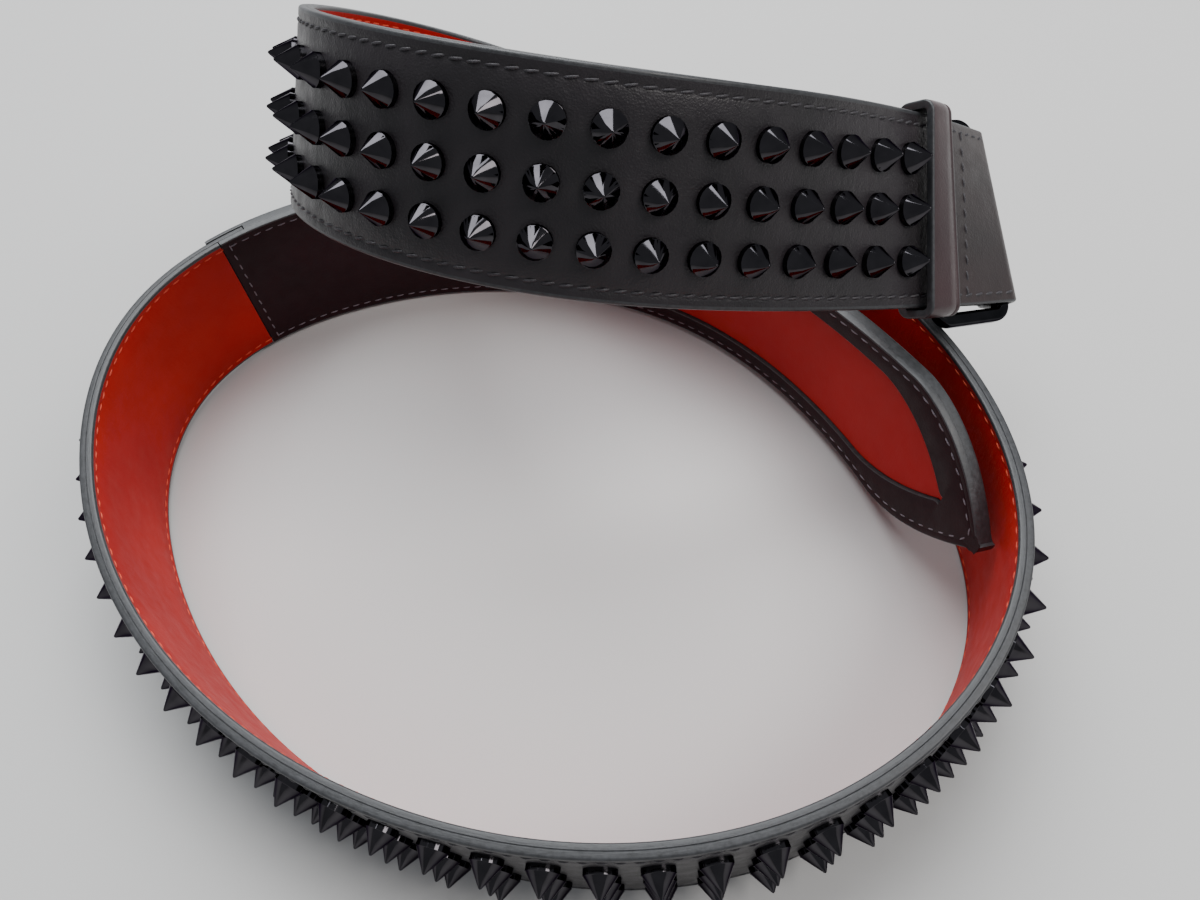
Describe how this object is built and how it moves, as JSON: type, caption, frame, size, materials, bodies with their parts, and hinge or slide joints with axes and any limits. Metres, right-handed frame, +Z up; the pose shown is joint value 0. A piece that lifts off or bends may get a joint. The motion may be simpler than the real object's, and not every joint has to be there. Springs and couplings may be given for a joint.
{
  "type": "studded leather belt",
  "caption": "Leather belt with rows of cone studs on a red lining, coiled and standing on its edge, with a bare pointed end, a keeper loop and a framed buckle.",
  "frame": {"origin": "middle of the box around the coiled belt, on the surface that it stands on", "axes": "+Z up, across the belt where it stands upright; -Y towards the front of the lower coil; +X towards the buckle's side"},
  "size_m": [0.2218, 0.2036, 0.1176],
  "materials": {
    "face_leather": "black smooth leather with dark glossy studs",
    "red_leather": "smooth matte red leather",
    "dark_leather": "smooth very dark burgundy leather",
    "black_metal": "glossy black"
  },
  "bodies": {
    "root": {"studded_face_upper": "face_leather", "studded_face_right": "face_leather", "studded_face_left": "face_leather", "red_lining_upper": "red_leather", "red_lining_lower": "red_leather", "billet_face": "face_leather", "billet_lining": "dark_leather", "tip_inlay": "red_leather", "keeper": "face_leather", "buckle_tab": "face_leather", "buckle_frame": "black_metal", "prong": "black_metal"}
  },
  "joints": []
}
